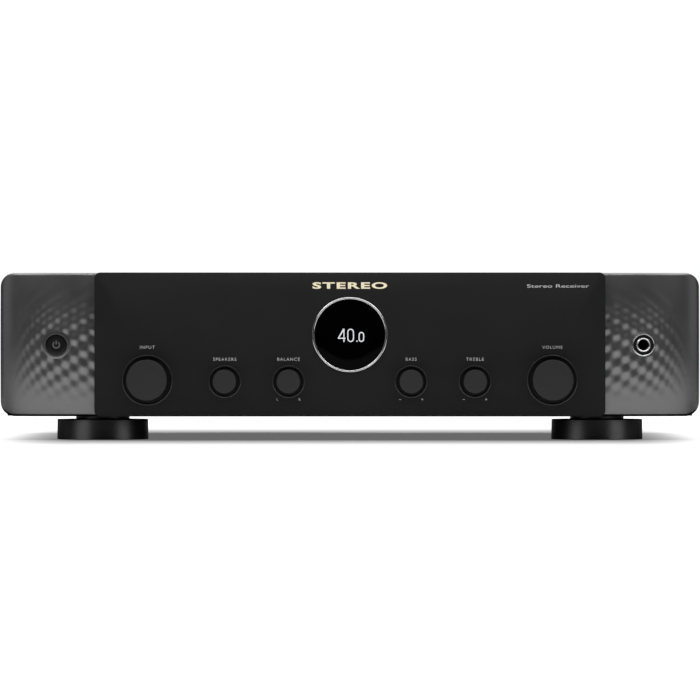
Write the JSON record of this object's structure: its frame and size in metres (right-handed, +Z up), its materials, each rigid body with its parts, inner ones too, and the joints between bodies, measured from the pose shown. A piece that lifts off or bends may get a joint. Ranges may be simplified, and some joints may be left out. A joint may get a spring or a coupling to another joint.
{
  "type": "stereo receiver",
  "caption": "Slim full-width stereo receiver: proud centre plate, curved wings, round display, turning knobs, power button, round feet and rear terminals.",
  "frame": {"origin": "centre of the whole object's box, on the floor under the feet", "axes": "+X to the right seen from the front, +Y to the rear, +Z up"},
  "size_m": [0.442, 0.384, 0.1055],
  "materials": {
    "plate_black": "matt, fine texture",
    "wing_black": "satin, scalloped",
    "knob_black": "black anodised, satin",
    "cover_black": "matt, fine texture",
    "panel_black": "matt",
    "moulding_black": "matt",
    "trim_black": "gloss",
    "button_black": "satin",
    "polished_ring": "polished",
    "window": "gloss",
    "display_black": "gloss",
    "board": "matt",
    "zinc_steel": "plated",
    "bright_metal": "plated",
    "core_steel": "varnished",
    "coil_tape": "satin",
    "heat_sink": "black anodised",
    "capacitor_sleeve": "satin",
    "flat_cable": "matt",
    "gold": "gold plated",
    "inlet_black": "matt",
    "foot_gloss": "gloss",
    "screw_black": "black zinc",
    "terminal_red": "gloss",
    "terminal_black": "gloss",
    "aerial_black": "satin"
  },
  "bodies": {
    "cabinet": {"base_chassis": "zinc_steel", "rear_panel": "panel_black", "top_cover": "cover_black", "front_frame": "moulding_black", "center_plate": "plate_black", "left_wing": "wing_black", "right_wing": "wing_black", "display_bezel": "polished_ring", "display_lens": "window", "display_module": "display_black", "front_board": "board", "encoder_bodies": "zinc_steel", "power_bezel": "trim_black", "power_switch": "board", "headphone_jack": "bright_metal", "headphone_bezel": "trim_black", "transformer_core": "core_steel", "transformer_coil": "coil_tape", "heat_sink": "heat_sink", "power_transistors": "moulding_black", "amplifier_board": "board", "power_board": "board", "filter_capacitors": "capacitor_sleeve", "digital_board": "board", "wiring_looms": "flat_cable", "hdmi_sockets": "zinc_steel", "data_sockets": "zinc_steel", "small_jacks": "gold", "rca_jacks": "gold", "mains_inlet": "inlet_black", "terminal_base": "moulding_black", "terminal_posts": "gold", "front_feet": "foot_gloss", "rear_feet": "foot_gloss", "case_screws": "screw_black"},
    "power_button": {"power_button": "button_black"},
    "input_control": {"input_knob": "knob_black", "input_shaft": "zinc_steel"},
    "speakers_control": {"speakers_knob": "knob_black", "speakers_shaft": "zinc_steel"},
    "balance_control": {"balance_knob": "knob_black", "balance_shaft": "zinc_steel"},
    "bass_control": {"bass_knob": "knob_black", "bass_shaft": "zinc_steel"},
    "treble_control": {"treble_knob": "knob_black", "treble_shaft": "zinc_steel"},
    "volume_control": {"volume_knob": "knob_black", "volume_shaft": "zinc_steel"},
    "a_right_plus_cap": {"a_right_plus_cap": "terminal_red"},
    "a_right_minus_cap": {"a_right_minus_cap": "terminal_black"},
    "a_left_plus_cap": {"a_left_plus_cap": "terminal_red"},
    "a_left_minus_cap": {"a_left_minus_cap": "terminal_black"},
    "b_right_plus_cap": {"b_right_plus_cap": "terminal_red"},
    "b_right_minus_cap": {"b_right_minus_cap": "terminal_black"},
    "b_left_plus_cap": {"b_left_plus_cap": "terminal_red"},
    "b_left_minus_cap": {"b_left_minus_cap": "terminal_black"},
    "left_aerial_swivel": {"left_aerial_swivel": "aerial_black"},
    "left_aerial_rod": {"left_aerial_rod": "aerial_black"},
    "right_aerial_swivel": {"right_aerial_swivel": "aerial_black"},
    "right_aerial_rod": {"right_aerial_rod": "aerial_black"}
  },
  "joints": [
    {"name": "power_button_press", "type": "slide", "parent": "cabinet", "child": "power_button", "axis": [0, 1, 0], "range_m": [0, 0.0012], "stiffness_N_per_m": 1500, "springref_m": -0.0006},
    {"name": "input_turn", "type": "hinge", "parent": "cabinet", "child": "input_control", "pos_m": [-0.1272, -0.175, 0.0378], "axis": [0, 1, 0], "continuous": true},
    {"name": "speakers_turn", "type": "hinge", "parent": "cabinet", "child": "speakers_control", "pos_m": [-0.0786, -0.175, 0.0369], "axis": [0, 1, 0], "continuous": true},
    {"name": "balance_turn", "type": "hinge", "parent": "cabinet", "child": "balance_control", "pos_m": [-0.0385, -0.175, 0.0369], "axis": [0, 1, 0], "continuous": true},
    {"name": "bass_turn", "type": "hinge", "parent": "cabinet", "child": "bass_control", "pos_m": [0.0385, -0.175, 0.0369], "axis": [0, 1, 0], "continuous": true},
    {"name": "treble_turn", "type": "hinge", "parent": "cabinet", "child": "treble_control", "pos_m": [0.0786, -0.175, 0.0369], "axis": [0, 1, 0], "continuous": true},
    {"name": "volume_turn", "type": "hinge", "parent": "cabinet", "child": "volume_control", "pos_m": [0.1272, -0.175, 0.0378], "axis": [0, 1, 0], "continuous": true},
    {"name": "a_right_plus_clamp", "type": "hinge", "parent": "cabinet", "child": "a_right_plus_cap", "pos_m": [-0.022, 0.183, 0.058], "axis": [0, 1, 0], "range_deg": [0, 1080]},
    {"name": "a_right_minus_clamp", "type": "hinge", "parent": "cabinet", "child": "a_right_minus_cap", "pos_m": [-0.046, 0.183, 0.058], "axis": [0, 1, 0], "range_deg": [0, 1080]},
    {"name": "a_left_plus_clamp", "type": "hinge", "parent": "cabinet", "child": "a_left_plus_cap", "pos_m": [-0.074, 0.183, 0.058], "axis": [0, 1, 0], "range_deg": [0, 1080]},
    {"name": "a_left_minus_clamp", "type": "hinge", "parent": "cabinet", "child": "a_left_minus_cap", "pos_m": [-0.098, 0.183, 0.058], "axis": [0, 1, 0], "range_deg": [0, 1080]},
    {"name": "b_right_plus_clamp", "type": "hinge", "parent": "cabinet", "child": "b_right_plus_cap", "pos_m": [-0.022, 0.183, 0.032], "axis": [0, 1, 0], "range_deg": [0, 1080]},
    {"name": "b_right_minus_clamp", "type": "hinge", "parent": "cabinet", "child": "b_right_minus_cap", "pos_m": [-0.046, 0.183, 0.032], "axis": [0, 1, 0], "range_deg": [0, 1080]},
    {"name": "b_left_plus_clamp", "type": "hinge", "parent": "cabinet", "child": "b_left_plus_cap", "pos_m": [-0.074, 0.183, 0.032], "axis": [0, 1, 0], "range_deg": [0, 1080]},
    {"name": "b_left_minus_clamp", "type": "hinge", "parent": "cabinet", "child": "b_left_minus_cap", "pos_m": [-0.098, 0.183, 0.032], "axis": [0, 1, 0], "range_deg": [0, 1080]},
    {"name": "left_aerial_turn", "type": "hinge", "parent": "cabinet", "child": "left_aerial_swivel", "pos_m": [-0.203, 0.173, 0.0945], "axis": [0, -1, 0], "range_deg": [-8, 180]},
    {"name": "left_aerial_fold", "type": "hinge", "parent": "left_aerial_swivel", "child": "left_aerial_rod", "pos_m": [-0.203, 0.181, 0.0945], "axis": [0, 0, 1], "range_deg": [0, 90]},
    {"name": "right_aerial_turn", "type": "hinge", "parent": "cabinet", "child": "right_aerial_swivel", "pos_m": [0.203, 0.173, 0.0945], "axis": [0, 1, 0], "range_deg": [-8, 180]},
    {"name": "right_aerial_fold", "type": "hinge", "parent": "right_aerial_swivel", "child": "right_aerial_rod", "pos_m": [0.203, 0.181, 0.0945], "axis": [0, 0, -1], "range_deg": [0, 90]}
  ]
}
